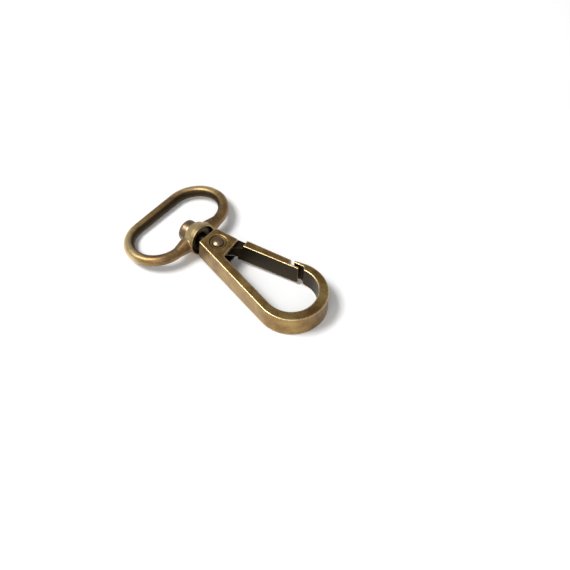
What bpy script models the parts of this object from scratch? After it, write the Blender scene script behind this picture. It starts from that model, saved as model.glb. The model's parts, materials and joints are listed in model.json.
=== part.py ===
"""Swivel lever snap hook for a key ring or strap, in antique brass.

A teardrop hook with a sprung lever gate, and an oval strap ring that turns on a stud in the hook's head.
The hook lies as it does on a table: the end of its loop and the far side of the ring both rest on z = 0.

World frame: +X runs along the swivel axis from the ring to the loop, +Y is the gate's side, +Z is up.
The hook's own frame, held by the empty hook_frame: x along the hook, y towards the gate, z through its
thickness, with the origin on the gate rivet's axis at the hook's bottom face.
The two swivel frames: z out of the head towards the ring, y as the hook's y, x up.
"""
import math

import bmesh
import bpy
from mathutils import Matrix, Vector

MM = 0.001
MERGE = 0.01 * MM                 # vertices nearer than this are one
GAP = 0.3 * MM                    # clearance between neighbouring pieces
FIT = 0.15 * MM                   # clearance of a pin in its hole
OVERSHOOT = 1.0 * MM              # how far a cutter runs past the face that it cuts
ARC_STEP = math.radians(7.5)

# Hook body
THICKNESS = 5.8 * MM
CHEEK = 0.9 * MM                  # each of the two plates of the head and of the channel in the leg
WEB = 1.05 * MM                   # outer wall of that channel
EDGE = 0.25 * MM                  # chamfer round the outlines
HEAD_LEG_CORNER = Vector((-3.65, -3.05)) * MM
HEAD_GATE_CORNER = Vector((-3.35, 3.15)) * MM
CHEEK_TIP = Vector((3.45, 4.05)) * MM
CROTCH = Vector((3.95, -2.45)) * MM
TIP_ROUNDING = 0.6 * MM
END_WALL = 0.7 * MM               # wall that the swivel stud passes through
CHANNEL_END = 14.8 * MM
LOOP_CENTRE = Vector((23.7, 0.0)) * MM
LOOP_RADIUS = 9.22 * MM
HOLLOW_CENTRE = Vector((23.35, 0.0)) * MM
HOLLOW_RADIUS = 6.74 * MM
HOLLOW_RADIUS_GATE_SIDE = 7.08 * MM

# Gate: its two long faces as lines through x = 0, and the stepped joint between its tip and the nose
GATE_OUTER_START = 4.05 * MM
GATE_OUTER_ANGLE = math.radians(11.1)
GATE_INNER_START = 1.82 * MM
GATE_INNER_ANGLE = math.radians(12.4)
NOSE_ANGLE = math.radians(18.6)   # slope of the nose's lip, tangent to the loop
CUT_ANGLE = math.radians(-66)     # direction of the end faces of gate and nose
GATE_OUTER_END = 17.62 * MM
GATE_TONGUE_END = 20.65 * MM
TONGUE = 0.55 * MM                # thickness of the tongue that goes under the lip
TIP_GAP = 0.68 * MM
LIP_UNDER = 0.5 * MM              # the lip's underside, out from the middle of the gate's width
NOSE_STEP = 21.15 * MM            # the nose's end face, from under the lip to the hollow
NOSE_WALL = 21.95 * MM
BAR_START_TOP = 5.45 * MM         # where the bar begins to be full height
BAR_START_BOTTOM = 4.25 * MM
STEP_LEAN = 0.28                  # slope of those steps across the gate
HEEL_END = -1.55 * MM
HUB_RADIUS = 1.5 * MM
HUB_TO_NECK = math.radians(5)     # where the neck's inner side leaves the hub
NECK_INNER = Vector((5.0, 2.85)) * MM

# Rivet and spring
RIVET_RADIUS = 0.9 * MM
RIVET_HEAD_RADIUS = 1.5 * MM
RIVET_HEAD_HEIGHT = 0.75 * MM
DISH_RADIUS = 2.35 * MM
DISH_DEPTH = 0.35 * MM
SPRING_WIRE = 0.2 * MM            # radius of the wire
SPRING_RADIUS = 1.4 * MM
SPRING_PITCH = 0.5 * MM
SPRING_FIRST = math.radians(-105) # where the coil begins, after the fixed leg
SPRING_LAST = math.radians(668)   # where it ends, a little over two turns on
SPRING_FOOT = Vector((-2.2, -1.95)) * MM
SPRING_ARM = 4.4 * MM             # length of the leg along the gate's neck
SPRING_SEAT = 2.9 * MM            # height of the hub's lower face, which the coil sits under
SPRING_ROOM = 2.0 * MM            # radius cleared round the coil

# Swivel: stations along its axis are measured from the middle of the end wall
STUD_RADIUS = 1.15 * MM
STUD_HOLE = 1.45 * MM
FLANGE_RADIUS = 1.6 * MM
FLANGE_START = -1.08 * MM
FLANGE_END = -0.63 * MM
STUD_HEAD_RADIUS = 2.8 * MM
STUD_HEAD_START = 5.35 * MM
STUD_HEAD_END = 7.95 * MM
STUD_HEAD_ROUNDING = 0.8 * MM
BAND_START = 1.7 * MM
BAND_END = 4.85 * MM
BAND_RIM_RADIUS = 4.15 * MM
BAND_END_RADIUS = 3.75 * MM
BAND_BEVEL = 0.3 * MM
CUP_RADIUS = 3.65 * MM
CUP_DEPTH = 0.8 * MM
WIRE_RADIUS = 1.42 * MM
RING_REACH = 18.67 * MM           # from the pivot to the middle of the wire on the far side
RING_STRAIGHT = 6.75 * MM         # half of the straight far side
RING_END_RADIUS = 7.41 * MM
WIRE_ROOT = Vector((2.6, 3.3)) * MM
SHOULDER_STATION = 3.85 * MM      # each wire thickens into a shoulder at the band
SHOULDER_RADIUS = 2.0 * MM
SHOULDER_START = 3.3 * MM         # out from the swivel's axis
SHOULDER_END = 7.2 * MM
WIRE_POINTS = 20                  # along each round end

# Rest: the loop's end on the table, the head propped up by the ring's band, the ring fallen to the table
BODY_TILT = math.radians(2.77)
STUD_TILT = math.radians(6.5)     # play of the stud in the head
STUD_YAW = math.radians(1.6)      # stud and ring have also slipped round a little towards the gate's side
RING_YAW = math.radians(3.2)


def line(start, angle, x):
    """Point at x on the line that crosses x = 0 at y = start."""
    return Vector((x, start + x * math.tan(angle)))


def arc(centre, radius, start, end, radius_y=None):
    """Points of an arc, or of an elliptical one, from one angle to another."""
    steps = max(2, round(abs(end - start) / ARC_STEP))
    height = radius if radius_y is None else radius_y
    angles = [start + (end - start) * i / steps for i in range(steps + 1)]
    return [centre + Vector((radius * math.cos(a), height * math.sin(a))) for a in angles]


def tangent_angle(centre, radius, point, side):
    """Angle on a circle where the tangent from an outside point touches it."""
    away = point - centre
    return math.atan2(away.y, away.x) + side * math.acos(radius / away.length)


def cut_from(point, length):
    """Point reached from the outer corner of an end face by going inwards along it."""
    return point + length * Vector((math.cos(CUT_ANGLE), math.sin(CUT_ANGLE)))


def middle_line(x, shift):
    """Line half-way through the gate's width, where gate and nose overlap, moved outwards by shift."""
    outer = line(GATE_OUTER_START, GATE_OUTER_ANGLE, x)
    inner = line(GATE_INNER_START, GATE_INNER_ANGLE, x)
    return (outer + inner) / 2 + Vector((0, shift))


def web_line(x):
    """Inner face of the leg's outer wall."""
    touch = tangent_angle(LOOP_CENTRE, LOOP_RADIUS, HEAD_LEG_CORNER, 1)
    slope = Vector((-math.sin(touch), math.cos(touch)))
    outer = HEAD_LEG_CORNER + slope * (x - HEAD_LEG_CORNER.x) / slope.x
    return outer + Vector((0, WEB / slope.x))


def body_outline():
    touch = tangent_angle(LOOP_CENTRE, LOOP_RADIUS, HEAD_LEG_CORNER, 1)
    outer = arc(LOOP_CENTRE, LOOP_RADIUS, touch, math.pi / 2 + NOSE_ANGLE)
    nose_start = GATE_OUTER_END + TIP_GAP
    back = nose_start - outer[-1].x
    nose_top = outer[-1] + Vector((back, back * math.tan(NOSE_ANGLE)))
    nose_under = cut_from(nose_top, nose_top.y - middle_line(nose_start, LIP_UNDER).y)
    inner_turn = math.acos((NOSE_WALL - HOLLOW_CENTRE.x) / HOLLOW_RADIUS)
    touch_in = tangent_angle(HOLLOW_CENTRE, HOLLOW_RADIUS, CROTCH, 1)
    gate_side = arc(HOLLOW_CENTRE, HOLLOW_RADIUS, inner_turn, 0, HOLLOW_RADIUS_GATE_SIDE)
    leg_side = arc(HOLLOW_CENTRE, HOLLOW_RADIUS, 0, touch_in)
    tip = rounded_tip(CROTCH, CHEEK_TIP, HEAD_GATE_CORNER)
    nose = [nose_top, nose_under, middle_line(NOSE_STEP, LIP_UNDER)]
    return [HEAD_LEG_CORNER] + outer + nose + gate_side + leg_side[1:] + [CROTCH] + tip + [HEAD_GATE_CORNER]


def rounded_tip(before, corner, after):
    """A corner replaced by a short quadratic curve."""
    start = corner + (before - corner).normalized() * TIP_ROUNDING
    end = corner + (after - corner).normalized() * TIP_ROUNDING
    return [start.lerp(corner, t).lerp(corner.lerp(end, t), t) for t in (0, 0.25, 0.5, 0.75, 1)]


def pocket_outline():
    """Slot between the cheeks, open to the gate's side, and the channel along the leg."""
    wall = HEAD_LEG_CORNER.x + (HEAD_GATE_CORNER.x - HEAD_LEG_CORNER.x) / 2 + END_WALL
    high = CHEEK_TIP.y + 2 * OVERSHOOT
    return [
        Vector((wall, web_line(wall).y)),
        web_line(CHANNEL_END),
        Vector((CHANNEL_END, CROTCH.y)),
        Vector((CHEEK_TIP.x + 2 * OVERSHOOT, high)),
        Vector((wall, high)),
    ]


def gate_outline():
    outer_end = line(GATE_OUTER_START, GATE_OUTER_ANGLE, GATE_OUTER_END)
    end_face = outer_end.y - line(GATE_INNER_START + TONGUE, GATE_INNER_ANGLE, GATE_OUTER_END).y
    under = cut_from(outer_end, end_face)
    tongue_end = line(GATE_INNER_START, GATE_INNER_ANGLE, GATE_TONGUE_END)
    tongue_top = cut_from(tongue_end, -TONGUE)
    hub = arc(Vector((0, 0)), HUB_RADIUS, HUB_TO_NECK, -math.pi)
    heel = line(GATE_OUTER_START, GATE_OUTER_ANGLE, HEEL_END)
    return [
        heel,
        outer_end,
        under,
        tongue_top,
        tongue_end,
        NECK_INNER,
    ] + hub + [Vector((HEEL_END, 0))]


def neck_outline(bar_start):
    """Area over the gate's heel, hub and neck, up to the step where the bar begins."""
    step = Vector((STEP_LEAN, -1)) * OVERSHOOT
    left = HEEL_END - OVERSHOOT
    low = -HUB_RADIUS - OVERSHOOT
    return [
        line(GATE_OUTER_START, GATE_OUTER_ANGLE, bar_start) - step,
        line(GATE_INNER_START, GATE_INNER_ANGLE, bar_start) + step * 1.5,
        Vector((HUB_RADIUS + OVERSHOOT / 2, low)),
        Vector((left, low)),
        Vector((left, GATE_OUTER_START + OVERSHOOT)),
    ]


def new_object(name, mesh, collection, parent=None):
    piece = bpy.data.objects.new(name, mesh)
    collection.objects.link(piece)
    piece.parent = parent
    return piece


def curve_to_mesh(name, curve, collection, parent=None):
    """Turn a curve into a welded mesh object that faces out."""
    source = new_object(name + "_curve", curve, collection, parent)
    bpy.context.view_layer.update()
    mesh = bpy.data.meshes.new_from_object(source.evaluated_get(bpy.context.evaluated_depsgraph_get()))
    bm = bmesh.new()
    bm.from_mesh(mesh)
    bmesh.ops.remove_doubles(bm, verts=bm.verts, dist=MERGE)
    bmesh.ops.recalc_face_normals(bm, faces=bm.faces)
    bm.to_mesh(mesh)
    bm.free()
    piece = new_object(name, mesh, collection)
    piece.parent = parent
    piece.matrix_world = source.matrix_world
    bpy.data.objects.remove(source)
    bpy.data.curves.remove(curve)
    mesh.name = name
    return piece


def plate(name, outline, bottom, top, collection, parent=None):
    """A flat outline given its thickness."""
    curve = bpy.data.curves.new(name, "CURVE")
    curve.dimensions = "2D"
    curve.fill_mode = "BOTH"
    curve.extrude = (top - bottom) / 2
    spline = curve.splines.new("POLY")
    spline.points.add(len(outline) - 1)
    for point, place in zip(spline.points, outline):
        point.co = (place.x, place.y, 0, 1)
    spline.use_cyclic_u = True
    piece = curve_to_mesh(name, curve, collection, parent)
    piece.data.transform(Matrix.Translation((0, 0, (bottom + top) / 2)))
    return piece


def wire(name, points, radius, resolution, collection, parent=None):
    """A round wire through the points, with closed ends."""
    curve = bpy.data.curves.new(name, "CURVE")
    curve.dimensions = "3D"
    curve.bevel_depth = radius
    curve.bevel_resolution = resolution
    curve.use_fill_caps = True
    spline = curve.splines.new("POLY")
    spline.points.add(len(points) - 1)
    for point, place in zip(spline.points, points):
        point.co = (*place, 1)
    return curve_to_mesh(name, curve, collection, parent)


def turned(name, profile, collection, parent=None, steps=40):
    """A profile of (radius, height) pairs, from the top down, turned about z."""
    mesh = bpy.data.meshes.new(name)
    verts = [(radius, 0, height) for radius, height in profile]
    mesh.from_pydata(verts, [(i, i + 1) for i in range(len(verts) - 1)], [])
    piece = new_object(name, mesh, collection, parent)
    screw = piece.modifiers.new("Turn", "SCREW")
    screw.axis = "Z"
    screw.steps = steps
    screw.render_steps = steps
    screw.use_merge_vertices = True
    screw.merge_threshold = MERGE
    screw.use_smooth_shade = True
    return piece


def cylinder(name, radius, bottom, top, collection, parent=None, top_radius=None, segments=40):
    """A cylinder or cone along z."""
    mesh = bpy.data.meshes.new(name)
    bm = bmesh.new()
    end_radius = radius if top_radius is None else top_radius
    bmesh.ops.create_cone(
        bm, cap_ends=True, segments=segments, radius1=radius, radius2=end_radius, depth=top - bottom)
    bmesh.ops.translate(bm, verts=bm.verts, vec=(0, 0, (bottom + top) / 2))
    bm.to_mesh(mesh)
    bm.free()
    return new_object(name, mesh, collection, parent)


def boolean(target, cutter, operation="DIFFERENCE"):
    step = target.modifiers.new(cutter.name, "BOOLEAN")
    step.operation = operation
    step.solver = "EXACT"
    step.object = cutter
    cutter.hide_render = True
    cutter.display_type = "WIRE"


def chamfer(piece, width, angle):
    step = piece.modifiers.new("Chamfer", "BEVEL")
    step.width = width
    step.segments = 1
    step.limit_method = "ANGLE"
    step.angle_limit = math.radians(angle)


def paint(piece, colour, roughness, metallic=1.0):
    material = bpy.data.materials.new(piece.name)
    material.use_nodes = True
    shader = material.node_tree.nodes["Principled BSDF"]
    shader.inputs["Base Color"].default_value = (*colour, 1)
    shader.inputs["Roughness"].default_value = roughness
    shader.inputs["Metallic"].default_value = metallic
    piece.data.materials.clear()
    piece.data.materials.append(material)


def smooth(piece):
    piece.data.shade_smooth()
    piece.data.set_sharp_from_angle(angle=math.radians(35))


def dome(radius, base, height, steps=5):
    """Half profile of a spherical cap, from its crown down to its rim."""
    sphere = (radius * radius + height * height) / (2 * height)
    spread = math.asin(radius / sphere)
    angles = [spread * i / steps for i in range(steps + 1)]
    return [(sphere * math.sin(a), base + height - sphere * (1 - math.cos(a))) for a in angles]


def make_hook_body(parts, cutters, frame):
    body = plate("hook_body", body_outline(), 0, THICKNESS, parts, frame)
    chamfer(body, EDGE, 60)
    pocket = plate("head_pocket_cut", pocket_outline(), CHEEK, THICKNESS - CHEEK, cutters, frame)
    boolean(body, pocket)
    hole = cylinder("stud_hole_cut", STUD_HOLE, -2 * OVERSHOOT, 2 * OVERSHOOT, cutters, frame)
    hole.location = swivel_pivot()
    hole.rotation_euler = (0, -math.pi / 2, 0)
    boolean(body, hole)
    pin = cylinder("rivet_hole_cut", RIVET_RADIUS + FIT, -OVERSHOOT, THICKNESS + OVERSHOOT, cutters, frame)
    boolean(body, pin)
    flare = DISH_RADIUS - DISH_DEPTH
    rise = DISH_RADIUS + OVERSHOOT
    top = cylinder(
        "top_dish_cut", flare, THICKNESS - DISH_DEPTH, THICKNESS + OVERSHOOT, cutters, frame, rise)
    bottom = cylinder("bottom_dish_cut", rise, -OVERSHOOT, DISH_DEPTH, cutters, frame, flare)
    boolean(body, top)
    boolean(body, bottom)
    paint(body, (0.16, 0.09, 0.03), 0.38)
    return body


def make_gate(parts, cutters, frame):
    """The lever: a full-height bar with a lower neck that goes between the cheeks to the hub and the heel."""
    gate = plate("gate_lever", gate_outline(), 0, THICKNESS, parts, frame)
    chamfer(gate, EDGE, 60)
    above = neck_outline(BAR_START_TOP)
    below = neck_outline(BAR_START_BOTTOM)
    neck_top = THICKNESS - CHEEK - GAP
    boolean(gate, plate("neck_top_cut", above, neck_top, THICKNESS + OVERSHOOT, cutters, frame))
    boolean(gate, plate("neck_bottom_cut", below, -OVERSHOOT, CHEEK + GAP, cutters, frame))
    bore = cylinder("gate_bore_cut", RIVET_RADIUS + FIT, -OVERSHOOT, THICKNESS + OVERSHOOT, cutters, frame)
    boolean(gate, bore)
    boolean(gate, cylinder("spring_room_cut", SPRING_ROOM, -2 * OVERSHOOT, SPRING_SEAT, cutters, frame))
    paint(gate, (0.16, 0.09, 0.03), 0.38)
    return gate


def make_rivet(parts, frame):
    """Pin with a domed head in each dish."""
    head_seat = THICKNESS - DISH_DEPTH + FIT
    upper = dome(RIVET_HEAD_RADIUS, head_seat, RIVET_HEAD_HEIGHT - FIT)
    lower = [(radius, THICKNESS - height) for radius, height in reversed(upper)]
    profile = upper + [(RIVET_RADIUS, head_seat), (RIVET_RADIUS, THICKNESS - head_seat)] + lower
    rivet = turned("pivot_rivet", profile, parts, frame, 32)
    paint(rivet, (0.2, 0.12, 0.05), 0.35)
    return rivet


def make_spring(parts, frame):
    """Torsion spring round the rivet: its foot is against the leg's wall, its arm against the gate's neck."""
    low = CHEEK + GAP + SPRING_WIRE
    turn = SPRING_LAST - SPRING_FIRST
    steps = round(turn / math.radians(24))
    coil = []
    for i in range(steps + 1):
        angle = SPRING_FIRST + turn * i / steps
        height = low + SPRING_PITCH * (angle - SPRING_FIRST) / (2 * math.pi)
        coil.append(Vector((SPRING_RADIUS * math.cos(angle), SPRING_RADIUS * math.sin(angle), height)))
    foot = Vector((*SPRING_FOOT, low))
    arm = coil[-1] + SPRING_ARM * Vector((-math.sin(SPRING_LAST), math.cos(SPRING_LAST), 0))
    spring = wire("gate_spring", [foot] + coil + [arm], SPRING_WIRE, 2, parts, frame)
    paint(spring, (0.32, 0.3, 0.27), 0.3)
    return spring


def swivel_pivot():
    """Middle of the end wall, in the hook's frame."""
    face = (HEAD_LEG_CORNER.x + HEAD_GATE_CORNER.x) / 2
    return Vector((face + END_WALL / 2, 0, THICKNESS / 2))


def make_stud(parts, frame):
    """Turned stud: a flange inside the head, a shank through head and band, a round head inside the ring."""
    round_off = STUD_HEAD_ROUNDING
    centre = Vector((STUD_HEAD_RADIUS - round_off, STUD_HEAD_END - round_off))
    corner = [tuple(p) for p in arc(centre, round_off, math.pi / 2, 0)]
    profile = [(0, STUD_HEAD_END)] + corner + [
        (STUD_HEAD_RADIUS, STUD_HEAD_START),
        (STUD_RADIUS, STUD_HEAD_START),
        (STUD_RADIUS, FLANGE_END),
        (FLANGE_RADIUS, FLANGE_END),
        (FLANGE_RADIUS, FLANGE_START),
        (0, FLANGE_START),
    ]
    stud = turned("swivel_stud", profile, parts, frame)
    paint(stud, (0.15, 0.09, 0.04), 0.4)
    return stud


def ring_path():
    """Centre line of the ring's wire, in the plane of the ring, from one side of the band to the other."""
    centre = Vector((RING_REACH - RING_END_RADIUS, RING_STRAIGHT))
    root = Vector((WIRE_ROOT.y, 0))
    away = root - centre
    last = math.atan2(away.y, away.x) % (2 * math.pi) - math.acos(RING_END_RADIUS / away.length)
    angles = [last * i / WIRE_POINTS for i in range(WIRE_POINTS + 1)]
    half = [centre + RING_END_RADIUS * Vector((math.cos(a), math.sin(a))) for a in angles]
    half.append(half[-1].lerp(root, 1 - WIRE_ROOT.x / half[-1].y))
    return [(0, -p.y, p.x) for p in reversed(half)] + [(0, p.y, p.x) for p in half]


def make_ring(parts, cutters, frame, stud_frame):
    """Oval wire cast in one with the band that turns on the stud."""
    middle = (BAND_START + BAND_END) / 2
    bulge = (BAND_RIM_RADIUS + BAND_END_RADIUS) / 2 + BAND_BEVEL / 3
    profile = [
        (0, BAND_END),
        (BAND_END_RADIUS - BAND_BEVEL, BAND_END),
        (BAND_END_RADIUS, BAND_END - BAND_BEVEL),
        (bulge, middle),
        (BAND_RIM_RADIUS, BAND_START + BAND_BEVEL),
        (BAND_RIM_RADIUS - BAND_BEVEL / 2, BAND_START),
        (0, BAND_START),
    ]
    ring = wire("swivel_ring", ring_path(), WIRE_RADIUS, 4, parts, frame)
    boolean(ring, turned("band_union", profile, cutters, frame), "UNION")
    for name, turn in (("near_shoulder_union", math.pi / 2), ("far_shoulder_union", -math.pi / 2)):
        shoulder = cylinder(
            name, SHOULDER_RADIUS, SHOULDER_START, SHOULDER_END, cutters, frame, WIRE_RADIUS - MERGE, 24)
        shoulder.location = (0, 0, SHOULDER_STATION)
        shoulder.rotation_euler = (turn, 0, 0)
        boolean(ring, shoulder, "UNION")
    cup = cylinder("cup_cut", CUP_RADIUS, BAND_START - OVERSHOOT, BAND_START + CUP_DEPTH, cutters, frame)
    boolean(ring, cup)
    bore = cylinder("band_bore_cut", STUD_HOLE, 0, BAND_END + OVERSHOOT, cutters, stud_frame)
    boolean(ring, bore)
    paint(ring, (0.2, 0.12, 0.045), 0.33)
    return ring


def empty(name, collection, parent, location, turn, yaw=0):
    """An empty turned about its y, after a yaw about its own x."""
    frame = bpy.data.objects.new(name, None)
    collection.objects.link(frame)
    frame.parent = parent
    frame.location = location
    frame.rotation_euler = (-yaw, turn, 0)
    return frame


def centre_on_origin(frame, pieces):
    """Move the whole hook so that its box stands centred over the origin."""
    bpy.context.view_layer.update()
    graph = bpy.context.evaluated_depsgraph_get()
    corners = []
    for piece in pieces:
        shape = piece.evaluated_get(graph)
        mesh = shape.to_mesh()
        corners += [shape.matrix_world @ v.co for v in mesh.vertices]
        shape.to_mesh_clear()
    low = [min(c[i] for c in corners) for i in range(3)]
    high = [max(c[i] for c in corners) for i in range(3)]
    frame.location -= Vector(((low[0] + high[0]) / 2, (low[1] + high[1]) / 2, low[2]))


def main():
    for old in list(bpy.data.objects):
        bpy.data.objects.remove(old)
    parts = bpy.data.collections.new("swivel_snap_hook")
    cutters = bpy.data.collections.new("cutters")
    bpy.context.scene.collection.children.link(parts)
    bpy.context.scene.collection.children.link(cutters)

    loop_end = LOOP_CENTRE.x + LOOP_RADIUS
    lift = loop_end * math.sin(BODY_TILT)
    hook_frame = empty("hook_frame", parts, None, (0, 0, lift), BODY_TILT)
    pivot = swivel_pivot()
    pivot_height = lift + pivot.z * math.cos(BODY_TILT) - pivot.x * math.sin(BODY_TILT)
    straight = (RING_REACH - RING_END_RADIUS) * math.cos(RING_YAW) + RING_STRAIGHT * math.sin(RING_YAW)
    ring_fall = math.asin((pivot_height - WIRE_RADIUS) / (straight + RING_END_RADIUS)) + BODY_TILT
    stud_frame = empty("stud_frame", parts, hook_frame, pivot, -math.pi / 2 - STUD_TILT, STUD_YAW)
    ring_frame = empty("ring_frame", parts, hook_frame, pivot, -math.pi / 2 - ring_fall, RING_YAW)

    pieces = [
        make_hook_body(parts, cutters, hook_frame),
        make_gate(parts, cutters, hook_frame),
        make_rivet(parts, hook_frame),
        make_spring(parts, hook_frame),
        make_stud(parts, stud_frame),
        make_ring(parts, cutters, ring_frame, stud_frame),
    ]
    for piece in pieces:
        smooth(piece)
    centre_on_origin(hook_frame, pieces)


main()
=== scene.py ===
"""Looks of the swivel lever snap hook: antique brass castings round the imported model, and the studio.

Shapes are built in millimetres in the hook's own frame (x along the hook, y towards the gate, z through
its thickness, origin on the rivet's axis at the bottom face) or in a swivel frame (z out of the head,
along the swivel's axis), and then carried to the row's frame in metres.
"""
import json
import math

import bmesh
import bpy
import numpy as np
from mathutils import Matrix, Vector
from mathutils.bvhtree import BVHTree


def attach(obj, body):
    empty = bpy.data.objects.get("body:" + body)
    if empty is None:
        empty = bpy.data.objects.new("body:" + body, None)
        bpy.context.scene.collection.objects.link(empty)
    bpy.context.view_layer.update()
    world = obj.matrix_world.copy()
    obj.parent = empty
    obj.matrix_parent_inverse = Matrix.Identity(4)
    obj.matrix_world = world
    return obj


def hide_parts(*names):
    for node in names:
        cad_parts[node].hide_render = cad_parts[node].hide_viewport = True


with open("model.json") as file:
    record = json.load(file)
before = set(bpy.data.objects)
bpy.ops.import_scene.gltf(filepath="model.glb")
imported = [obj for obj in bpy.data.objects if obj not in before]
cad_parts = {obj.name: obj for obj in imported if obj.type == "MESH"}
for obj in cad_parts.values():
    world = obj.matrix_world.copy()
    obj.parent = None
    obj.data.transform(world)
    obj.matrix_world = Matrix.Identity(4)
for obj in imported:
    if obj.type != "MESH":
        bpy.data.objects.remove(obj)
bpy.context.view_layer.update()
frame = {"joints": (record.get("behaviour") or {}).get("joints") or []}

MM = 0.001
ARC_STEP = math.radians(3)
OVERSHOOT = 1.0

# Driving dimensions of the model, in millimetres
THICKNESS = 5.8
CHEEK = 0.9
WEB = 1.05
HEAD_LEG_CORNER = Vector((-3.65, -3.05))
HEAD_GATE_CORNER = Vector((-3.35, 3.15))
CHEEK_TIP = Vector((3.45, 4.05))
CROTCH = Vector((3.95, -2.45))
TIP_ROUNDING = 0.6
END_WALL = 0.7
CHANNEL_END = 14.8
LOOP_CENTRE = Vector((23.7, 0.0))
LOOP_RADIUS = 9.22
HOLLOW_CENTRE = Vector((23.35, 0.0))
HOLLOW_RADIUS = 6.74
HOLLOW_RADIUS_GATE_SIDE = 7.08
GATE_OUTER_START = 4.05
GATE_OUTER_ANGLE = math.radians(11.1)
GATE_INNER_START = 1.82
GATE_INNER_ANGLE = math.radians(12.4)
NOSE_ANGLE = math.radians(18.6)
CUT_ANGLE = math.radians(-66)
GATE_OUTER_END = 17.62
GATE_TONGUE_END = 20.65
TONGUE = 0.55
TIP_GAP = 0.68
LIP_UNDER = 0.5
NOSE_STEP = 21.15
NOSE_WALL = 21.95
BAR_START_TOP = 5.45
BAR_START_BOTTOM = 4.25
STEP_LEAN = 0.28
HEEL_END = -1.55
HUB_RADIUS = 1.5
HUB_TO_NECK = math.radians(5)
NECK_INNER = Vector((5.0, 2.85))
RIVET_RADIUS = 0.9
RIVET_HEAD_RADIUS = 1.5
RIVET_HEAD_HEIGHT = 0.75
DISH_RADIUS = 2.35
DISH_DEPTH = 0.35
SPRING_WIRE = 0.2
SPRING_RADIUS = 1.4
SPRING_PITCH = 0.5
SPRING_FIRST = math.radians(-105)
SPRING_LAST = math.radians(668)
SPRING_FOOT = Vector((-2.2, -1.95))
SPRING_ARM = 4.4
SPRING_SEAT = 2.9
SPRING_ROOM = 2.0
STUD_RADIUS = 1.15
STUD_HOLE = 1.45
FLANGE_RADIUS = 1.6
FLANGE_START = -1.08
FLANGE_END = -0.63
STUD_HEAD_RADIUS = 2.8
STUD_HEAD_START = 5.35
STUD_HEAD_END = 7.95
STUD_HEAD_ROUNDING = 0.9
BAND_START = 1.7
BAND_END = 4.85
BAND_RIM_RADIUS = 4.15
BAND_END_RADIUS = 3.75
CUP_RADIUS = 3.65
CUP_DEPTH = 0.8
WIRE_RADIUS = 1.42
RING_REACH = 18.67
RING_STRAIGHT = 6.75
RING_END_RADIUS = 7.41
WIRE_ROOT = Vector((2.6, 3.3))
SHOULDER_STATION = 3.85
SHOULDER_RADIUS = 2.0
SHOULDER_START = 3.3
SHOULDER_END = 7.2
SHOULDER_ROUNDING = 0.7
RING_YAW = math.radians(3.2)
FIT = 0.15
GAP = 0.3

HOOK_MIDDLE = ((0, 0, 0), (HOLLOW_CENTRE.x, 0, 0))
RING_MIDDLE = (
    (0, -RING_STRAIGHT, RING_REACH - RING_END_RADIUS),
    (0, RING_STRAIGHT, RING_REACH - RING_END_RADIUS))

# Meshes of the pieces
VOXEL = 0.13                      # size of a casting's quads
SOFTENING = 3                     # smoothing passes over its skin
EDGE = 0.2                        # rounding of its outline's edges
STUD_VOXEL = 0.1
STUD_SOFTENING = 4
STUD_EDGE = 0.25
SHARP = math.radians(50)          # an edge that bends more than this is rounded
TURN_STEPS = 72
DOME_STEPS = 10
COIL_STEP = math.radians(8)
RING_RESOLUTION = 8
SPRING_RESOLUTION = 4
BAND_BULGE = 0.1
SEAM = 0.02                       # how far the shoulder's end stays inside the wire
MERGE = 0.001

# Wear and painted shade
WEAR_REACH = 0.42                 # how far from a corner its wear reaches
WEAR_PASSES = 4
SHADE_RAYS = 10
SHADE_REACH = 7.0
SHADE_LIFT = 0.05                 # the rays start this far off the surface
SHADE_TURN = 2.4                  # each vertex's rays are turned on by this angle
SHADE_PASSES = 12
HIDDEN_PASSES = 2
UNRUBBED_AND_SHADED = 1.2                    # mark of a place that no wheel or hand reaches, painted dark as oxide and shade
# painted shade in the dishes round the rivet's heads
DISH_SHADE = 0.62
FACE_EDGE = 0.4                   # an edge that leans less than this out of upright is worn less
UPRIGHT_WEAR = 0.3
WALL_MARGIN = 0.1                 # how far the mark of a hidden place reaches past its walls
NECK_MARGIN = 0.15
CHEEK_EDGE_MARGIN = 0.35
CHEEK_FACE_MARGIN = 0.2
UNDERSIDE = -0.5                  # a face that looks further down than this is an underside
DISH_INNER_MARGIN = 0.15
DISH_OUTER_MARGIN = 0.02

# Wear of the ring, partly painted highlight: where it begins and where it is full
BENDS_ACROSS = (3.0, 10.5)
BENDS_ALONG = (8.0, 12.0)
BENDS_OUTWARD = (-0.8, 0.2)
BAND_BEGINNING = (BAND_START, BAND_START + 0.8)
BAND_ENDING = (BAND_END + 0.3, BAND_END - 0.2)
BAND_REACH = BAND_RIM_RADIUS + 0.3
RING_WEAR_AND_HIGHLIGHT = 0.13
BAND_SHARE = 0.75
RING_CORNER_SHARE = 0.3

# Colours of the plating
BROWN_DARK = (0.155, 0.084, 0.029)
BROWN = (0.28, 0.165, 0.057)
OLIVE = (0.35, 0.235, 0.085)
GOLD = (0.46, 0.315, 0.125)
# pale of rubbed brass; on the ring's bends and band it also paints highlights
PALE = (0.76, 0.59, 0.31)
GREYED = (0.25, 0.205, 0.165)
# black of unpolished oxide, also used to paint shade in pockets, recesses and on walls facing a loop
BLACKENED_AND_SHADE = (0.020, 0.014, 0.007)
PATINA = ((0.32, BROWN_DARK), (0.47, BROWN), (0.58, OLIVE), (0.72, GOLD))
STEEL_TONES = ((0.35, (0.08, 0.075, 0.07)), (0.65, (0.3, 0.28, 0.26)))

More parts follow.
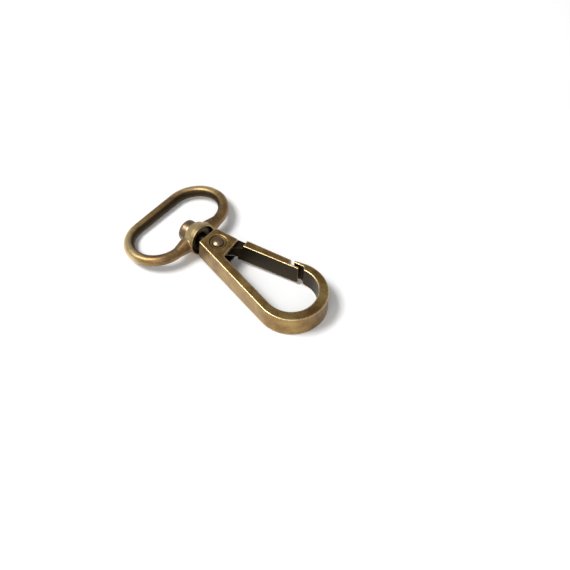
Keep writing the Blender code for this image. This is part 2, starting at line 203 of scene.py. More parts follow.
# The plating's noises, in millimetres, and how much each counts
CLOUD_SIZE = 5.0
GRAIN_SIZE = 0.55
LINE_SIZE = 0.12
STEEL_GRAIN_SIZE = 0.3
BRUSHED = (0.04, 1, 1)            # stretch of the brushed lines
UNBRUSHED = (1, 1, 1)
GRAIN_OFFSET = 0.3
CLOUD_SHARE = 0.72
LINE_SWING = 0.16
CORNER_SWING = 0.07
SHADE_GRAIN = 0.15
INNER_GRAIN = 0.2
LINE_RELIEF = 0.5
SKIN_RELIEF = 0.02

# Ranges of the rubbing and painted-shade attributes over which each mark comes or goes
CORNER_RUBBED = (0.02, 0.15)
OPEN_RUBBED = (0.3, 0.6)
INNER_UNRUBBED = (1.02, 1.15)
# the painted shade of closed-in places fades out over this range of open sky
OPEN_SHADE = (0.35, 0.85)
INNER_DARK = (0.45, 0.85)
HOLLOW_DARK = (-0.12, -0.03)

# Sheen
GRAIN_RANGE = (0.3, 0.7)
GRAIN_ROUGHNESS = 0.14
DARK_ROUGHNESS = 0.16
RUBBED_SMOOTHNESS = 0.08
STEEL_ROUGHNESS = (0.25, 0.4)
LACQUER = 0.1
LACQUER_ROUGHNESS = 0.32


def joint(name):
    return next(j for j in frame["joints"] if j["name"] == name)


def hook_matrix():
    """From the hook's frame in millimetres to the row's frame in metres."""
    hinge = joint("gate_hinge")
    up = -Vector(hinge["axis"]).normalized()
    across = Vector((0, 1, 0))
    along = across.cross(up)
    origin = Vector(hinge["pos_m"]) - up * THICKNESS / 2 * MM
    turn = Matrix((along, across, up)).transposed().to_4x4()
    return Matrix.Translation(origin) @ turn @ Matrix.Scale(MM, 4)


def swivel_matrix(axis):
    """From the swivel frame, with z along the axis and y level, to the row's frame in metres."""
    out = Vector(axis).normalized()
    upward = Vector((0, 1, 0)).cross(out).normalized()
    across = out.cross(upward)
    turn = Matrix((upward, across, out)).transposed().to_4x4()
    return Matrix.Translation(Vector(joint("ring_swivel")["pos_m"])) @ turn @ Matrix.Scale(MM, 4)


def ring_axis():
    """Direction of the ring, which has fallen until its far side lies on the table."""
    pivot = joint("ring_swivel")["pos_m"][2] / MM
    straight = (RING_REACH - RING_END_RADIUS) * math.cos(RING_YAW) + RING_STRAIGHT * math.sin(RING_YAW)
    fall = math.asin((pivot - WIRE_RADIUS) / (straight + RING_END_RADIUS))
    level = Vector((-math.cos(fall), 0, -math.sin(fall)))
    return level * math.cos(RING_YAW) + Vector((0, math.sin(RING_YAW), 0))


# ---------------------------------------------------------------- outlines

def line(start, angle, x):
    return Vector((x, start + x * math.tan(angle)))


def arc(centre, radius, start, end, radius_y=None):
    steps = max(2, round(abs(end - start) / ARC_STEP))
    height = radius if radius_y is None else radius_y
    angles = [start + (end - start) * i / steps for i in range(steps + 1)]
    return [centre + Vector((radius * math.cos(a), height * math.sin(a))) for a in angles]


def tangent_angle(centre, radius, point, side):
    away = point - centre
    return math.atan2(away.y, away.x) + side * math.acos(radius / away.length)


def cut_from(point, length):
    return point + length * Vector((math.cos(CUT_ANGLE), math.sin(CUT_ANGLE)))


def middle_line(x, shift):
    outer = line(GATE_OUTER_START, GATE_OUTER_ANGLE, x)
    inner = line(GATE_INNER_START, GATE_INNER_ANGLE, x)
    return (outer + inner) / 2 + Vector((0, shift))


def web_line(x):
    touch = tangent_angle(LOOP_CENTRE, LOOP_RADIUS, HEAD_LEG_CORNER, 1)
    slope = Vector((-math.sin(touch), math.cos(touch)))
    outer = HEAD_LEG_CORNER + slope * (x - HEAD_LEG_CORNER.x) / slope.x
    return outer + Vector((0, WEB / slope.x))


def rounded_corner(before, corner, after, size):
    start = corner + (before - corner).normalized() * size
    end = corner + (after - corner).normalized() * size
    return [start.lerp(corner, t).lerp(corner.lerp(end, t), t) for t in (0, 0.2, 0.4, 0.6, 0.8, 1)]


def body_outline():
    touch = tangent_angle(LOOP_CENTRE, LOOP_RADIUS, HEAD_LEG_CORNER, 1)
    outer = arc(LOOP_CENTRE, LOOP_RADIUS, touch, math.pi / 2 + NOSE_ANGLE)
    nose_start = GATE_OUTER_END + TIP_GAP
    back = nose_start - outer[-1].x
    nose_top = outer[-1] + Vector((back, back * math.tan(NOSE_ANGLE)))
    nose_under = cut_from(nose_top, nose_top.y - middle_line(nose_start, LIP_UNDER).y)
    inner_turn = math.acos((NOSE_WALL - HOLLOW_CENTRE.x) / HOLLOW_RADIUS)
    touch_in = tangent_angle(HOLLOW_CENTRE, HOLLOW_RADIUS, CROTCH, 1)
    gate_side = arc(HOLLOW_CENTRE, HOLLOW_RADIUS, inner_turn, 0, HOLLOW_RADIUS_GATE_SIDE)
    leg_side = arc(HOLLOW_CENTRE, HOLLOW_RADIUS, 0, touch_in)
    tip = rounded_corner(CROTCH, CHEEK_TIP, HEAD_GATE_CORNER, TIP_ROUNDING)
    nose = [nose_top, nose_under, middle_line(NOSE_STEP, LIP_UNDER)]
    inner = gate_side + leg_side[1:] + [CROTCH]
    return [HEAD_LEG_CORNER] + outer + nose + inner + tip + [HEAD_GATE_CORNER]


def pocket_outline():
    wall = (HEAD_LEG_CORNER.x + HEAD_GATE_CORNER.x) / 2 + END_WALL
    high = CHEEK_TIP.y + 2 * OVERSHOOT
    return [
        Vector((wall, web_line(wall).y)),
        web_line(CHANNEL_END),
        Vector((CHANNEL_END, CROTCH.y)),
        Vector((CHEEK_TIP.x + 2 * OVERSHOOT, high)),
        Vector((wall, high)),
    ]


def gate_outline():
    outer_end = line(GATE_OUTER_START, GATE_OUTER_ANGLE, GATE_OUTER_END)
    end_face = outer_end.y - line(GATE_INNER_START + TONGUE, GATE_INNER_ANGLE, GATE_OUTER_END).y
    under = cut_from(outer_end, end_face)
    tongue_end = line(GATE_INNER_START, GATE_INNER_ANGLE, GATE_TONGUE_END)
    tongue_top = cut_from(tongue_end, -TONGUE)
    hub = arc(Vector((0, 0)), HUB_RADIUS, HUB_TO_NECK, -math.pi)
    heel = line(GATE_OUTER_START, GATE_OUTER_ANGLE, HEEL_END)
    return [heel, outer_end, under, tongue_top, tongue_end, NECK_INNER] + hub + [Vector((HEEL_END, 0))]


def neck_outline(bar_start):
    """Area over the gate's heel, hub and neck, up to the step where the bar begins."""
    step = Vector((STEP_LEAN, -1)) * OVERSHOOT
    left = HEEL_END - OVERSHOOT
    low = -HUB_RADIUS - OVERSHOOT
    return [
        line(GATE_OUTER_START, GATE_OUTER_ANGLE, bar_start) - step,
        line(GATE_INNER_START, GATE_INNER_ANGLE, bar_start) + step * 1.5,
        Vector((HUB_RADIUS + OVERSHOOT / 2, low)),
        Vector((left, low)),
        Vector((left, GATE_OUTER_START + OVERSHOOT)),
    ]


def ring_path():
    """Centre line of the ring's wire, in the ring's plane, from one side of the band to the other."""
    centre = Vector((RING_REACH - RING_END_RADIUS, RING_STRAIGHT))
    root = Vector((WIRE_ROOT.y, 0))
    away = root - centre
    last = math.atan2(away.y, away.x) % (2 * math.pi) - math.acos(RING_END_RADIUS / away.length)
    steps = round(last / ARC_STEP)
    half = [
        centre + RING_END_RADIUS * Vector((math.cos(last * i / steps), math.sin(last * i / steps)))
        for i in range(steps + 1)
    ]
    half.append(half[-1].lerp(root, 1 - WIRE_ROOT.x / half[-1].y))
    return [(0, -p.y, p.x) for p in reversed(half)] + [(0, p.y, p.x) for p in half]


# ---------------------------------------------------------------- solids

def piece_from(name, bm):
    bmesh.ops.recalc_face_normals(bm, faces=bm.faces)
    mesh = bpy.data.meshes.new(name)
    bm.to_mesh(mesh)
    bm.free()
    piece = bpy.data.objects.new(name, mesh)
    bpy.context.scene.collection.objects.link(piece)
    return piece


def plate(name, outline, bottom, top):
    bm = bmesh.new()
    base = bm.faces.new([bm.verts.new((p.x, p.y, bottom)) for p in outline])
    raised = bmesh.ops.extrude_face_region(bm, geom=[base])
    verts = [v for v in raised["geom"] if isinstance(v, bmesh.types.BMVert)]
    bmesh.ops.translate(bm, verts=verts, vec=(0, 0, top - bottom))
    return piece_from(name, bm)


def turned(name, profile):
    """A profile of (radius, height) pairs turned about z; it starts and ends on the axis."""
    bm = bmesh.new()
    verts = [bm.verts.new((radius, 0, height)) for radius, height in profile]
    edges = [bm.edges.new(pair) for pair in zip(verts, verts[1:])]
    bmesh.ops.spin(
        bm, geom=verts + edges, cent=(0, 0, 0), axis=(0, 0, 1), dvec=(0, 0, 0),
        angle=2 * math.pi, steps=TURN_STEPS, use_duplicate=False)
    bmesh.ops.remove_doubles(bm, verts=bm.verts, dist=MERGE)
    return piece_from(name, bm)


def cylinder(name, radius, bottom, top, top_radius=None):
    end = radius if top_radius is None else top_radius
    return turned(name, [(0, top), (end, top), (radius, bottom), (0, bottom)])


def tube(name, points, radius, resolution):
    curve = bpy.data.curves.new(name, "CURVE")
    curve.dimensions = "3D"
    curve.bevel_depth = radius
    curve.bevel_resolution = resolution
    curve.use_fill_caps = True
    spline = curve.splines.new("POLY")
    spline.points.add(len(points) - 1)
    for point, place in zip(spline.points, points):
        point.co = (*place, 1)
    source = bpy.data.objects.new(name + "_path", curve)
    bpy.context.scene.collection.objects.link(source)
    graph = bpy.context.evaluated_depsgraph_get()
    bm = bmesh.new()
    bm.from_mesh(bpy.data.meshes.new_from_object(source.evaluated_get(graph)))
    bmesh.ops.remove_doubles(bm, verts=bm.verts, dist=MERGE)
    bpy.data.objects.remove(source)
    return piece_from(name, bm)


def bake(piece):
    """Replace a piece's mesh by its evaluated one, with no modifiers left."""
    graph = bpy.context.evaluated_depsgraph_get()
    mesh = bpy.data.meshes.new_from_object(piece.evaluated_get(graph))
    piece.modifiers.clear()
    piece.data = mesh
    return piece


def combine(piece, tool, operation="DIFFERENCE"):
    step = piece.modifiers.new("Combine", "BOOLEAN")
    step.operation = operation
    step.solver = "EXACT"
    step.object = tool
    bake(piece)
    bpy.data.objects.remove(tool)


def rounded(piece, width):
    step = piece.modifiers.new("Round", "BEVEL")
    step.width = width
    step.segments = 3
    step.limit_method = "ANGLE"
    step.angle_limit = SHARP
    return bake(piece)


def cast(piece, voxel=VOXEL, passes=SOFTENING):
    """Give a solid the even skin and soft corners of a casting."""
    skin = piece.modifiers.new("Skin", "REMESH")
    skin.mode = "VOXEL"
    skin.voxel_size = voxel
    soften = piece.modifiers.new("Soften", "SMOOTH")
    soften.factor = 0.5
    soften.iterations = passes
    return bake(piece)


def place(piece, matrix):
    piece.data.transform(matrix)
    piece.data.shade_smooth()
    return piece


# ---------------------------------------------------------------- pieces

def make_hook_body(matrix):
    body = rounded(plate("hook_body_cast", body_outline(), 0, THICKNESS), EDGE)
    combine(body, plate("pocket", pocket_outline(), CHEEK, THICKNESS - CHEEK))
    hole = cylinder("stud_hole", STUD_HOLE, -2 * OVERSHOOT, 2 * OVERSHOOT)
    wall = (HEAD_LEG_CORNER.x + HEAD_GATE_CORNER.x) / 2 + END_WALL / 2
    to_wall = Matrix.Translation((wall, 0, THICKNESS / 2))
    hole.data.transform(to_wall @ Matrix.Rotation(-math.pi / 2, 4, "Y"))
    combine(body, hole)
    combine(body, cylinder("rivet_hole", RIVET_RADIUS + FIT, -OVERSHOOT, THICKNESS + OVERSHOOT))
    flare = DISH_RADIUS - DISH_DEPTH
    rise = DISH_RADIUS + OVERSHOOT
    combine(body, cylinder("top_dish", flare, THICKNESS - DISH_DEPTH, THICKNESS + OVERSHOOT, rise))
    combine(body, cylinder("bottom_dish", rise, -OVERSHOOT, DISH_DEPTH, flare))
    return place(cast(body), matrix)


def make_gate(matrix):
    gate = rounded(plate("gate_lever_cast", gate_outline(), 0, THICKNESS), EDGE)
    above = neck_outline(BAR_START_TOP)
    below = neck_outline(BAR_START_BOTTOM)
    combine(gate, plate("neck_top", above, THICKNESS - CHEEK - GAP, THICKNESS + OVERSHOOT))
    combine(gate, plate("neck_bottom", below, -OVERSHOOT, CHEEK + GAP))
    combine(gate, cylinder("bore", RIVET_RADIUS + FIT, -OVERSHOOT, THICKNESS + OVERSHOOT))
    combine(gate, cylinder("spring_room", SPRING_ROOM, -2 * OVERSHOOT, SPRING_SEAT))
    return place(cast(gate), matrix)


def dome(radius, base, height):
    """Profile of a rivet head, from its top down to its rim."""
    sphere = (radius * radius + height * height) / (2 * height)
    spread = math.asin(radius / sphere)
    angles = [spread * i / DOME_STEPS for i in range(DOME_STEPS + 1)]
    return [(sphere * math.sin(a), base + height - sphere * (1 - math.cos(a))) for a in angles]


def make_rivet(matrix):
    seat = THICKNESS - DISH_DEPTH + FIT
    upper = dome(RIVET_HEAD_RADIUS, seat, RIVET_HEAD_HEIGHT - FIT)
    lower = [(radius, THICKNESS - height) for radius, height in reversed(upper)]
    profile = upper + [(RIVET_RADIUS, seat), (RIVET_RADIUS, THICKNESS - seat)] + lower
    return place(turned("pivot_rivet_turned", profile), matrix)


def make_spring(matrix):
    low = CHEEK + GAP + SPRING_WIRE
    turn = SPRING_LAST - SPRING_FIRST
    steps = round(turn / COIL_STEP)
    coil = []
    for i in range(steps + 1):
        angle = SPRING_FIRST + turn * i / steps
        height = low + SPRING_PITCH * (angle - SPRING_FIRST) / (2 * math.pi)
        coil.append(Vector((SPRING_RADIUS * math.cos(angle), SPRING_RADIUS * math.sin(angle), height)))
    arm = coil[-1] + SPRING_ARM * Vector((-math.sin(SPRING_LAST), math.cos(SPRING_LAST), 0))
    points = [Vector((*SPRING_FOOT, low))] + coil + [arm]
    return place(tube("gate_spring_wire", points, SPRING_WIRE, SPRING_RESOLUTION), matrix)


def make_stud(matrix):
    centre = Vector((STUD_HEAD_RADIUS - STUD_HEAD_ROUNDING, STUD_HEAD_END - STUD_HEAD_ROUNDING))
    shoulder = [tuple(p) for p in reversed(arc(centre, STUD_HEAD_ROUNDING, 0, math.pi / 2))]
    profile = [(0, STUD_HEAD_END)] + shoulder + [
        (STUD_HEAD_RADIUS, STUD_HEAD_START),
        (STUD_RADIUS, STUD_HEAD_START),
        (STUD_RADIUS, FLANGE_END),
        (FLANGE_RADIUS, FLANGE_END),
        (FLANGE_RADIUS, FLANGE_START),
        (0, FLANGE_START),
    ]
    stud = rounded(turned("swivel_stud_turned", profile), STUD_EDGE)
    return place(cast(stud, STUD_VOXEL, STUD_SOFTENING), matrix)


def make_ring(matrix, stud_matrix):
    middle = (BAND_START + BAND_END) / 2
    bulge = (BAND_RIM_RADIUS + BAND_END_RADIUS) / 2 + BAND_BULGE
    band = [
        (0, BAND_END),
        (BAND_END_RADIUS, BAND_END),
        (bulge, middle),
        (BAND_RIM_RADIUS, BAND_START),
        (0, BAND_START),
    ]
    ring = tube("swivel_ring_cast", ring_path(), WIRE_RADIUS, RING_RESOLUTION)
    combine(ring, turned("band", band), "UNION")
    soft = Vector((SHOULDER_RADIUS - SHOULDER_ROUNDING, SHOULDER_START + SHOULDER_ROUNDING))
    heel = [tuple(p) for p in arc(soft, SHOULDER_ROUNDING, 0, -math.pi / 2)]
    cone = [(0, SHOULDER_END), (WIRE_RADIUS - SEAM, SHOULDER_END)] + heel + [(0, SHOULDER_START)]
    for side in (1, -1):
        shoulder = turned("shoulder", cone)
        turn = Matrix.Rotation(-side * math.pi / 2, 4, "X")
        shoulder.data.transform(Matrix.Translation((0, 0, SHOULDER_STATION)) @ turn)
        combine(ring, shoulder, "UNION")
    combine(ring, cylinder("cup", CUP_RADIUS, BAND_START - OVERSHOOT, BAND_START + CUP_DEPTH))
    bore = cylinder("band_bore", STUD_HOLE, 0, BAND_END + OVERSHOOT)
    bore.data.transform(matrix.inverted() @ stud_matrix)
    combine(ring, bore)
    return place(cast(ring), matrix)


# ---------------------------------------------------------------- wear, painted shade and painted highlight

def corner_arrays(piece):
    """Vertex places in millimetres, normals and edges of a piece, as arrays."""
    mesh = piece.data
    count = len(mesh.vertices)
    co = np.empty(count * 3)
    normal = np.empty(count * 3)
    edge = np.empty(len(mesh.edges) * 2, np.int32)
    mesh.vertices.foreach_get("co", co)
    mesh.vertices.foreach_get("normal", normal)
    mesh.edges.foreach_get("vertices", edge)
    return co.reshape(-1, 3) / MM, normal.reshape(-1, 3), edge.reshape(-1, 2)


def spread(values, edge, passes):
    """Average each vertex's values with its neighbours', again and again."""
    count = np.bincount(edge.ravel(), minlength=len(values))[:, None]
    for _ in range(passes):
        total = np.zeros_like(values)
        for a, b in ((0, 1), (1, 0)):
            for axis in range(values.shape[1]):
                total[:, axis] += np.bincount(edge[:, a], values[edge[:, b], axis], len(values))
        values = (values + total / np.maximum(count, 1)) / 2
    return values


def store(piece, name, values):
    attribute = piece.data.attributes.new(name, "FLOAT", "POINT")
    attribute.data.foreach_set("value", values.astype(np.float32))


def whole_tree(pieces):
    """One search tree of all the pieces at rest."""
    verts, faces = [], []
    for piece in pieces:
        start = len(verts)
        verts += [v.co / MM for v in piece.data.vertices]
        faces += [[start + i for i in p.vertices] for p in piece.data.polygons]
    return BVHTree.FromPolygons(verts, faces)


def openness(co, normal, tree):
    """How much of the sky above each vertex is open, from 0 to 1, within SHADE_REACH."""
    golden = math.pi * (3 - math.sqrt(5))
    result = np.empty(len(co))
    for i, (place, up) in enumerate(zip(co, normal)):
        up = Vector(up)
        side = up.orthogonal().normalized()
        other = up.cross(side)
        start = Vector(place) + up * SHADE_LIFT
        free = 0
        for ray in range(SHADE_RAYS):
            tilt = (ray + 0.5) / SHADE_RAYS
            turn = golden * ray + i * SHADE_TURN
            flat = math.sqrt(tilt)
            level = side * (flat * math.cos(turn)) + other * (flat * math.sin(turn))
            aim = level + up * math.sqrt(1 - tilt)
            if tree.ray_cast(start, aim, SHADE_REACH)[0] is None:
                free += 1
        result[i] = free / SHADE_RAYS
    return result


def to_local(co, matrix):
    """Places in millimetres of the row's frame, as places in a piece's own frame."""
    back = np.array(matrix.inverted())
    return (co * MM) @ back[:3, :3].T + back[:3, 3]


def inner_side(local, facing, middle, thickness):
    """1 on the walls that face the middle line of a loop, which are painted dark: oxide where no buffing
    wheel reaches, and painted shade.
    """
    start, end = (np.array(p) for p in middle)
    along = end - start
    share = np.clip((local - start) @ along / (along @ along), 0, 1)
    inward = start + share[:, None] * along - local
    inward[:, thickness] = 0
    inward /= np.maximum(np.linalg.norm(inward, axis=1, keepdims=True), 0.01)
    return (facing * inward).sum(1)


def fade(values, start, end):
    """0 at start and 1 at end, with a straight slope between them, and the same beyond them."""
    return np.clip((values - start) / (end - start), 0, 1)


def ring_wear_and_highlight(local, outward):
    """Extra rubbing of the ring, partly painted highlight: the outer side of its bends, and its band."""
    bend = fade(np.abs(local[:, 1]), *BENDS_ACROSS) * fade(local[:, 2], *BENDS_ALONG)
    bend *= fade(outward, *BENDS_OUTWARD)
    band = fade(local[:, 2], *BAND_BEGINNING) * fade(local[:, 2], *BAND_ENDING)
    band *= np.hypot(local[:, 0], local[:, 1]) < BAND_REACH
    return RING_WEAR_AND_HIGHLIGHT * np.maximum(bend, BAND_SHARE * band)


def hidden_in_body(local, facing):
    """Where the body is never rubbed and is painted dark as oxide and shade: its pocket and lower cheek's
    upper side; and half so its dishes, where the dark is painted shade.
    """
    x, y, z = local.T
    low, high = web_line(0).y, web_line(CHANNEL_END).y
    web = low + (high - low) * x / CHANNEL_END
    pocket = (x < CHANNEL_END) & (y > web - WALL_MARGIN)
    pocket &= (z > CHEEK - CHEEK_EDGE_MARGIN) & (z < THICKNESS - CHEEK + WALL_MARGIN)
    cheek = (x < CROTCH.x + CHEEK_EDGE_MARGIN) & (y > HEAD_LEG_CORNER.y)
    cheek &= (z < CHEEK + CHEEK_FACE_MARGIN) & (facing[:, 2] > UNDERSIDE)
    radius = np.hypot(x, y)
    dish = radius > DISH_RADIUS - DISH_DEPTH - DISH_INNER_MARGIN
    dish &= radius < DISH_RADIUS - DISH_OUTER_MARGIN
    return np.maximum(np.where(pocket | cheek, UNRUBBED_AND_SHADED, 0.0), np.where(dish, DISH_SHADE, 0.0))


def hidden_in_gate(local, _):
    """Where the gate is never rubbed and is painted dark as oxide and shade: its heel, hub and neck,
    below its full-height bar.
    """
    outer = line(GATE_OUTER_START, GATE_OUTER_ANGLE, BAR_START_TOP)
    start = outer.x + NECK_MARGIN + STEP_LEAN * (outer.y - local[:, 1])
    top = THICKNESS - CHEEK - GAP + NECK_MARGIN
    return np.where((local[:, 0] < start) & (local[:, 2] < top), UNRUBBED_AND_SHADED, 0.0)


def mark_wear_and_light(piece, tree, matrix, middle, thickness, hidden):
    """Store where a piece is rubbed pale and where it stays dark.

    The vertex attributes are corner, how far a vertex stands out of its surroundings, with the ring's
    rubbed bends and band added, which also paint its highlights;
    open, the share of the sky that it sees, which the material turns into painted shade;
    and inner, how far it is out of a buffing wheel's reach, which the material paints as oxide and shade.
    """
    co, normal, edge = corner_arrays(piece)
    size = np.linalg.norm(co[edge[:, 0]] - co[edge[:, 1]], axis=1).mean()
    near = spread(co, edge, max(1, round((WEAR_REACH / size) ** 2)))
    corner = ((co - near) * normal).sum(1) / WEAR_REACH
    open_sky = openness(co, normal, tree)
    local = to_local(co, matrix)
    facing = normal @ np.array(matrix.to_3x3().normalized())
    inner = np.zeros(len(co))
    if middle:
        inward = inner_side(local, facing, middle, thickness)
        inner = np.clip(inward, 0, 1)
    if middle == RING_MIDDLE:
        # on the ring, its rubbed bends and band, partly painted highlight, join the corner mark
        corner = RING_CORNER_SHARE * corner + ring_wear_and_highlight(local, -inward)
    if hidden:
        inner = spread(np.maximum(inner, hidden(local, facing))[:, None], edge, HIDDEN_PASSES)[:, 0]
        lean = np.clip(np.abs(facing[:, 2]) / FACE_EDGE, UPRIGHT_WEAR, 1)
        corner *= np.where(corner > 0, lean, 1)
    store(piece, "corner", spread(corner[:, None], edge, WEAR_PASSES)[:, 0])
    store(piece, "open", spread(open_sky[:, None], edge, SHADE_PASSES)[:, 0])
    store(piece, "inner", inner)


# ---------------------------------------------------------------- materials

class Nodes:
    """Short calls for building a material's nodes."""

    def __init__(self, name):
        self.material = bpy.data.materials.new(name)
        self.material.use_nodes = True
        self.tree = self.material.node_tree
        self.shader = self.tree.nodes["Principled BSDF"]
        self.place = self.add("ShaderNodeTexCoord").outputs["Object"]

    def add(self, kind, **settings):
        node = self.tree.nodes.new(kind)
        for key, value in settings.items():
            setattr(node, key, value)
        return node

    def put(self, socket, value):
        if isinstance(value, bpy.types.NodeSocket):
            self.tree.links.new(value, socket)
        elif isinstance(value, tuple) and len(value) == 3 and socket.type == "RGBA":
            socket.default_value = (*value, 1)
        else:
            socket.default_value = value

    def noise(self, size, detail, roughness=0.55, stretch=(1, 1, 1), offset=0.0):
        """Noise whose lumps are about size millimetres across, from 0 to 1."""
        mapping = self.add("ShaderNodeMapping")
        self.put(mapping.inputs["Vector"], self.place)
        mapping.inputs["Location"].default_value = (offset, offset, offset)
        mapping.inputs["Scale"].default_value = stretch
        node = self.add("ShaderNodeTexNoise")
        self.put(node.inputs["Vector"], mapping.outputs["Vector"])
        node.inputs["Scale"].default_value = 1 / (size * MM)
        node.inputs["Detail"].default_value = detail
        node.inputs["Roughness"].default_value = roughness
        return node.outputs["Fac"]

    def attribute(self, name):
        return self.add("ShaderNodeAttribute", attribute_name=name).outputs["Fac"]

    def maths(self, operation, a, b):
        node = self.add("ShaderNodeMath", operation=operation)
        self.put(node.inputs[0], a)
        self.put(node.inputs[1], b)
        return node.outputs[0]

    def plus(self, a, b):
        return self.maths("ADD", a, b)

    def times(self, a, b):
        return self.maths("MULTIPLY", a, b)

    def swing(self, noise, amount):
        """Noise brought to swing round 0."""
        return self.times(self.maths("SUBTRACT", noise, 0.5), amount)

    def ramp(self, value, low, high, start=0.0, end=1.0):
        """Smooth step of a value from low to high."""
        node = self.add("ShaderNodeMapRange", interpolation_type="SMOOTHSTEP")
        self.put(node.inputs["Value"], value)
        for name, number in (("From Min", low), ("From Max", high), ("To Min", start), ("To Max", end)):
            node.inputs[name].default_value = number
        return node.outputs["Result"]

    def colours(self, value, stops):
        node = self.add("ShaderNodeValToRGB")
        self.put(node.inputs["Fac"], value)
        band = node.color_ramp
        while len(band.elements) < len(stops):
            band.elements.new(0.5)
        for element, (where, colour) in zip(band.elements, stops):
            element.position = where
            element.color = (*colour, 1)
        return node.outputs["Color"]

    def mix(self, share, a, b):
        node = self.add("ShaderNodeMix", data_type="RGBA")
        self.put(node.inputs["Factor"], share)
        self.put(node.inputs["A"], a)
        self.put(node.inputs["B"], b)
        return node.outputs["Result"]

    def bump(self, height, distance):
        node = self.add("ShaderNodeBump")
        self.put(node.inputs["Height"], height)
        node.inputs["Strength"].default_value = 1.0
        node.inputs["Distance"].default_value = distance * MM
        self.put(self.shader.inputs["Normal"], node.outputs["Normal"])


def antique_brass(
        name, offset=0.0, brushing=BRUSHED, wear_and_light=1.0, age=0.0, inner_dark=0.93, grey=0.0, rough=0.28):
    """Plated casting: mottled brown over gold, black where no wheel reached and painted shade in hidden
    places, rubbed pale on corners, and on the ring painted highlights.
    """
    n = Nodes(name)
    clouds = n.noise(CLOUD_SIZE, detail=3.0, roughness=0.6, offset=offset)
    grain = n.noise(GRAIN_SIZE, detail=4.0, roughness=0.65, offset=offset + GRAIN_OFFSET)
    lines = n.noise(LINE_SIZE, detail=2.0, roughness=0.5, stretch=brushing, offset=offset)

    tone = n.plus(n.times(clouds, CLOUD_SHARE), n.times(grain, 1 - CLOUD_SHARE))
    tone = n.plus(tone, n.swing(lines, LINE_SWING))
    patina = n.colours(tone, [(where + age, colour) for where, colour in PATINA])
    patina = n.mix(grey, patina, GREYED)

    corner = n.plus(n.attribute("corner"), n.swing(grain, CORNER_SWING))
    # pale on rubbed corners; on the ring this also paints highlights on its bends and band
    rubbed = n.ramp(corner, *CORNER_RUBBED, 0.0, wear_and_light)
    rubbed = n.times(rubbed, n.ramp(n.attribute("open"), *OPEN_RUBBED))
    rubbed = n.times(rubbed, n.ramp(n.attribute("inner"), *INNER_UNRUBBED, 1.0, 0.0))

    # painted shade where a vertex sees little open sky: ambient occlusion put into the colour
    painted_shade = n.ramp(n.plus(n.attribute("open"), n.times(grain, SHADE_GRAIN)), *OPEN_SHADE, 1.0, 0.0)
    # dark on hidden places and on walls facing the loop's middle: unpolished oxide, and painted shade
    inner = n.ramp(n.plus(n.attribute("inner"), n.times(grain, INNER_GRAIN)), *INNER_DARK)
    # darker in concave creases
    hollow = n.ramp(corner, *HOLLOW_DARK, 1.0, 0.0)
    dark = n.maths("MAXIMUM", n.maths("MAXIMUM", painted_shade, n.times(inner, inner_dark)), hollow)

    colour = n.mix(dark, patina, BLACKENED_AND_SHADE)
    colour = n.mix(rubbed, colour, PALE)
    n.put(n.shader.inputs["Base Color"], colour)
    roughness = n.ramp(grain, *GRAIN_RANGE, rough, rough + GRAIN_ROUGHNESS)
    roughness = n.plus(roughness, n.times(dark, DARK_ROUGHNESS))
    roughness = n.maths("SUBTRACT", roughness, n.times(rubbed, RUBBED_SMOOTHNESS))
    n.put(n.shader.inputs["Roughness"], roughness)
    n.shader.inputs["Metallic"].default_value = 1.0
    n.shader.inputs["Coat Weight"].default_value = LACQUER
    n.shader.inputs["Coat Roughness"].default_value = LACQUER_ROUGHNESS
    n.bump(n.plus(n.times(lines, LINE_RELIEF), grain), SKIN_RELIEF)
    return n.material


def drawn_steel(name):
    n = Nodes(name)
    grain = n.noise(STEEL_GRAIN_SIZE, detail=3.0)
    n.put(n.shader.inputs["Base Color"], n.colours(grain, STEEL_TONES))
    n.put(n.shader.inputs["Roughness"], n.ramp(grain, *GRAIN_RANGE, *STEEL_ROUGHNESS))
    n.shader.inputs["Metallic"].default_value = 1.0
    return n.material


# ---------------------------------------------------------------- studio

FLOOR_SIZE = 4
FLOOR_WHITE = (0.9, 0.9, 0.9)
FLOOR_ROUGHNESS = 0.9
SKY = 0.38
VIEW_AZIMUTH = 38.93
VIEW_ELEVATION = 50.17
VIEW_DISTANCE = 0.595
LOOK_AT = Vector((18.29, 4.385))  # the camera's target on the floor, in plan from the hook's origin
LENS = 150.3
SENSOR = 36
# Each softbox's azimuth from the camera's, elevation, distance, size and power
SOFTBOXES = {
    "left_softbox": (-82, 60, 0.7, (0.3, 0.26), 4.6),
    "front_softbox": (-10, 35, 0.9, (0.7, 0.4), 2.4),
}


def make_floor():
    bpy.ops.mesh.primitive_plane_add(size=FLOOR_SIZE, location=(0, 0, 0))
    floor = bpy.context.object
    floor.name = "floor"
    material = bpy.data.materials.new("floor_white")
    material.use_nodes = True
    shader = material.node_tree.nodes["Principled BSDF"]
    shader.inputs["Base Color"].default_value = (*FLOOR_WHITE, 1)
    shader.inputs["Roughness"].default_value = FLOOR_ROUGHNESS
    floor.data.materials.append(material)


def softbox(name, turn, elevation, distance, size, power):
    """An area light that looks at the object."""
    data = bpy.data.lights.new(name, "AREA")
    data.shape = "RECTANGLE"
    data.size, data.size_y = size
    data.energy = power
    lamp = bpy.data.objects.new(name, data)
    bpy.context.scene.collection.objects.link(lamp)
    lamp.location = direction(VIEW_AZIMUTH + turn, elevation) * distance
    lamp.rotation_mode = "QUATERNION"
    lamp.rotation_quaternion = (-lamp.location).to_track_quat("-Z", "Y")


def direction(azimuth, elevation):
    """Unit vector from the object towards a place seen at that azimuth and elevation, in degrees."""
    a, e = math.radians(azimuth), math.radians(elevation)
    return Vector((math.sin(a) * math.cos(e), -math.cos(a) * math.cos(e), math.sin(e)))


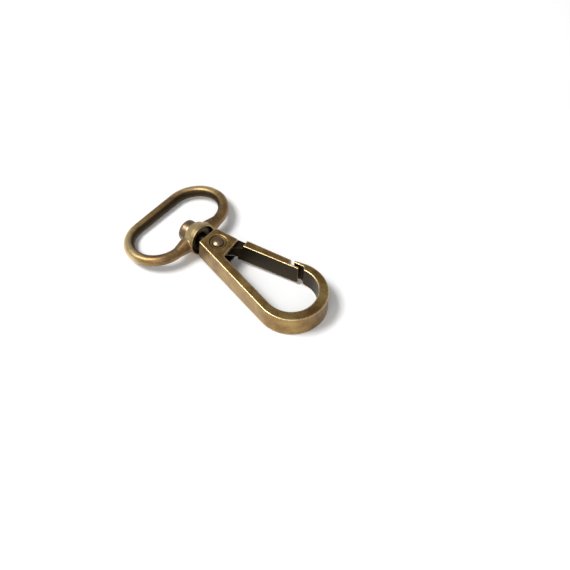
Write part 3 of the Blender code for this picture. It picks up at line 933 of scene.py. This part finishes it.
def make_camera():
    data = bpy.data.cameras.new("camera")
    data.lens = LENS
    data.sensor_width = SENSOR
    camera = bpy.data.objects.new("camera", data)
    bpy.context.scene.collection.objects.link(camera)
    base = hook_matrix().translation
    target = Vector((base.x + LOOK_AT.x * MM, base.y + LOOK_AT.y * MM, 0))
    back = direction(VIEW_AZIMUTH, VIEW_ELEVATION)
    camera.location = target + back * VIEW_DISTANCE
    camera.rotation_mode = "QUATERNION"
    camera.rotation_quaternion = (-back).to_track_quat("-Z", "Y")
    data.clip_start, data.clip_end = 0.01, 10
    bpy.context.scene.camera = camera


def make_light():
    world = bpy.data.worlds.new("studio")
    bpy.context.scene.world = world
    world.use_nodes = True
    sky = world.node_tree.nodes["Background"]
    sky.inputs["Color"].default_value = (1, 1, 1, 1)
    sky.inputs["Strength"].default_value = SKY
    for name, settings in SOFTBOXES.items():
        softbox(name, *settings)
    bpy.context.scene.view_settings.view_transform = "Standard"


def main():
    hook = hook_matrix()
    stud = swivel_matrix(joint("ring_swivel")["axis"])
    ring = swivel_matrix(ring_axis())
    brass = antique_brass("antique_brass")
    gate_brass = antique_brass("antique_brass_gate", inner_dark=0.94)
    turned_brass = antique_brass(
        "antique_brass_turned", offset=0.7, brushing=UNBRUSHED, wear_and_light=0.4, age=0.1, grey=0.5)
    # the ring's pale amount also paints highlights on its bends and band
    ring_brass = antique_brass(
        "antique_brass_ring", offset=1.9, brushing=UNBRUSHED, wear_and_light=0.8, age=0.06, inner_dark=0.88,
        grey=0.12, rough=0.36)
    steel = drawn_steel("spring_steel")
    pieces = [
        (make_hook_body(hook), "hook", "hook_body", "cast_body", brass),
        (make_gate(hook), "gate", "gate_lever", "cast_gate", gate_brass),
        (make_rivet(hook), "hook", "pivot_rivet", "rivet", turned_brass),
        (make_spring(hook), "hook", "gate_spring", "spring_wire", steel),
        (make_stud(stud), "stud", "swivel_stud", "stud", turned_brass),
        (make_ring(ring, stud), "ring", "swivel_ring", "cast_ring", ring_brass),
    ]
    # Each node's frame, its loop's middle line, the axis through its thickness, and its hidden places
    wear_and_light = {
        "hook_body": (hook, HOOK_MIDDLE, 2, hidden_in_body),
        "gate_lever": (hook, HOOK_MIDDLE, 2, hidden_in_gate),
        "pivot_rivet": (hook, None, 2, None),
        "gate_spring": (hook, None, 2, None),
        "swivel_stud": (stud, None, 2, None),
        "swivel_ring": (ring, RING_MIDDLE, 0, None),
    }
    tree = whole_tree([p[0] for p in pieces])
    for piece, body, node, slot, material in pieces:
        mark_wear_and_light(piece, tree, *wear_and_light[node])
        piece.data.materials.clear()
        piece.data.materials.append(material)
        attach(piece, body)
        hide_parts(node)
    make_floor()
    make_light()
    make_camera()


main()
